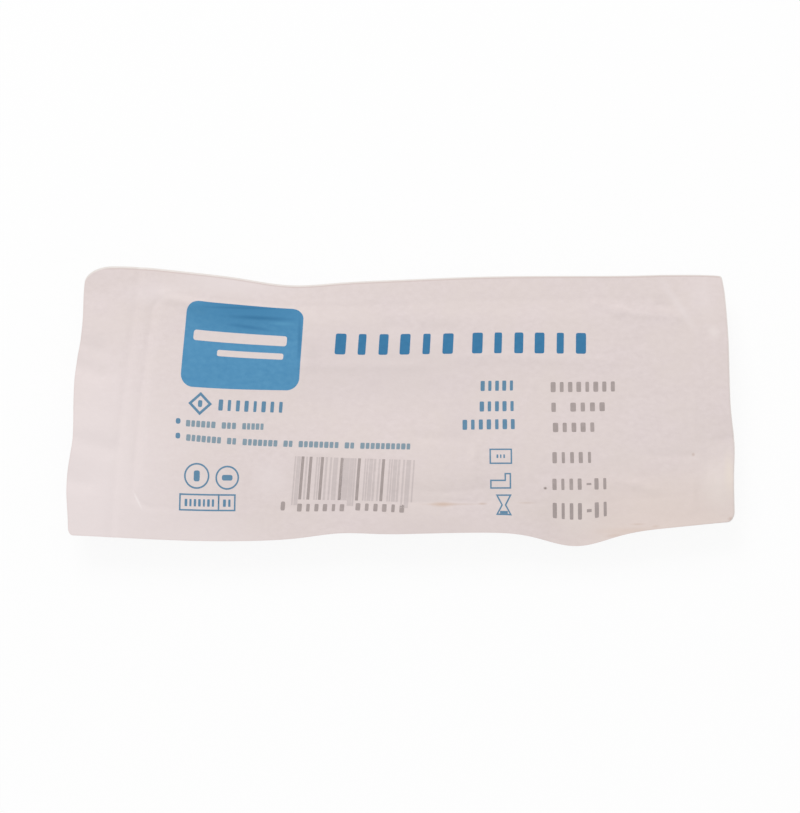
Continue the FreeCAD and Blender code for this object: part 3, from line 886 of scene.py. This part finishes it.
# Grey overprint
# The batch details and the stripe code are printed grey on the packing line, some stripes darker
# than others. Plain blocks stand for the figures, and the stripes hold no number.
stripe_count = 30
dark_stripes = [1 + n * (n + 1) // 2 for n in range(1, 7)]
dark_width = 2.5
wide_stripes = (12, 13, 14)
wide_spill = 0.9
pale_spill = 0.3
long_stripes = (0, 1, 14, 15, 27, 28)
code_overhang = 1.4
code_left = 52.4
code_width = 28.3
code_middle_up = 13.6
code_height = 10.1
code_tilt = -4.0


def stripes(dark):
    """Stripes 1 + (k^2 + k) mod 3 parts wide with gaps of 1 + (k^2 / 2) mod 3 parts between them.

    The dark ones are all equally wide instead, and the pale ones take up a share of the gap after
    them, their spill.
    """
    k = np.arange(stripe_count)
    widths = 1 + (k * k + k) % 3
    gaps = 1 + (k * k // 2) % 3
    starts = np.concatenate([[0], np.cumsum(widths + gaps)])
    part = code_width / (starts[-1] - gaps[-1])
    slope = math.tan(math.radians(code_tilt))
    made = []
    for index in k[np.isin(k, dark_stripes) == dark]:
        spill = wide_spill if index in wide_stripes else pale_spill
        width = dark_width if dark else widths[index] + spill * gaps[index]
        from_left = (starts[index] + width / 2) * part
        longer = code_overhang if index in long_stripes else 0.0
        middle_up = code_middle_up + (from_left - code_width / 2) * slope - longer / 2
        size = (width * part, code_height + longer)
        made.append(block(code_left + from_left, middle_up, *size, tilt=code_tilt))
    return made


overprint_grey = paper_look(
    "overprint_grey",
    (0.365, 0.310, 0.300, 1.0),
    (0.440, 0.375, 0.365, 1.0),
    (0.400, 0.345, 0.330, 1.0),
    [],
)
grey_sheets = [
    *stripes(True),
    block(50.1, 8.0, 1.0, 2.1, corner=0.3, tilt=code_tilt),
    *word(53.0, 7.5, 12.0, 6, 1.9, tilt=code_tilt),
    *word(66.7, 6.9, 12.4, 6, 1.9, tilt=code_tilt),
    *word(113.0, 35.2, 16.3, 8, 2.5, fill=0.5),
    *word(113.2, 30.2, 1.8, 1, 2.3, fill=0.5),
    *word(117.6, 30.2, 9.2, 4, 2.2, fill=0.5),
    *word(113.4, 25.2, 10.9, 5, 2.3, fill=0.5),
    *word(113.1, 17.8, 10.3, 5, 2.7, fill=0.42),
    *word(113.0, 11.4, 7.9, 4, 2.7, fill=0.42),
    block(122.1, 11.4, 1.1, 0.5),
    *word(122.9, 11.4, 3.9, 2, 2.7, fill=0.42),
    *word(113.0, 6.1, 7.9, 4, 2.7, fill=0.42),
    block(122.1, 6.1, 1.1, 0.5),
    *word(122.9, 6.1, 3.9, 2, 2.7, fill=0.42),
]
piece("grey_print", grey_sheets, overprint_grey)

pale_grey = paper_look(
    "pale_grey", (0.650, 0.572, 0.562, 1.0), (0.600, 0.525, 0.515, 1.0), (0.625, 0.550, 0.538, 1.0), []
)
piece("grey_stripes", stripes(False), pale_grey)


# Floor and light
# A plain pale floor under a wide soft lamp from the upper left, in an even white room.
def looked_at(tree):
    """Largest of a ray's camera, glossy and transmission marks: 1 where the room itself is seen."""
    rays = add(tree, "ShaderNodeLightPath", {}).outputs
    mark = rays["Is Camera Ray"]
    for other in ("Is Glossy Ray", "Is Transmission Ray"):
        mark = add(tree, "ShaderNodeMath", {0: mark, 1: rays[other]}, operation="MAXIMUM").outputs[0]
    return mark


floor_half_size = 2.0
floor_mesh = bpy.data.meshes.new("floor")
floor_mesh.from_pydata(
    [(x * floor_half_size, y * floor_half_size, 0.0) for x, y in ((-1, -1), (1, -1), (1, 1), (-1, 1))],
    [],
    [(0, 1, 2, 3)],
)
floor = bpy.data.objects.new("floor", floor_mesh)
bpy.context.scene.collection.objects.link(floor)

floor_white = bpy.data.materials.new("floor_white")
floor_white.use_nodes = True
floor_tree = floor_white.node_tree
floor_shader = floor_tree.nodes["Principled BSDF"]
floor_shader.inputs["Base Color"].default_value = (0.92, 0.92, 0.92, 1.0)
floor_shader.inputs["Roughness"].default_value = 0.9
floor_glow = add(floor_tree, "ShaderNodeEmission", {"Color": (1.0, 1.0, 1.0, 1.0), "Strength": 1.0})
floor_share = add(floor_tree, "ShaderNodeMath", {0: looked_at(floor_tree), 1: 0.9}, operation="MULTIPLY")
floor_mix = add(
    floor_tree,
    "ShaderNodeMixShader",
    {0: floor_share.outputs[0], 1: floor_shader.outputs[0], 2: floor_glow.outputs[0]},
)
floor_tree.links.new(floor_mix.outputs[0], floor_tree.nodes["Material Output"].inputs["Surface"])
floor_mesh.materials.append(floor_white)

world = bpy.data.worlds.new("white_room")
world.use_nodes = True
bpy.context.scene.world = world
room = world.node_tree.nodes["Background"]
room.inputs["Color"].default_value = (1.0, 1.0, 1.0, 1.0)
room_level = add(
    world.node_tree,
    "ShaderNodeMapRange",
    {"Value": looked_at(world.node_tree), "To Min": 0.70, "To Max": 1.0},
)
world.node_tree.links.new(room_level.outputs[0], room.inputs["Strength"])

lamp = bpy.data.objects.new("soft_lamp", bpy.data.lights.new("soft_lamp", "AREA"))
lamp.data.size = 0.64
lamp.data.energy = 6.7
lamp.location = (-0.35, 0.83, 0.90)
lamp.rotation_euler = (-lamp.location).to_track_quat("-Z", "Y").to_euler()
bpy.context.scene.collection.objects.link(lamp)

bpy.context.scene.view_settings.view_transform = "Standard"
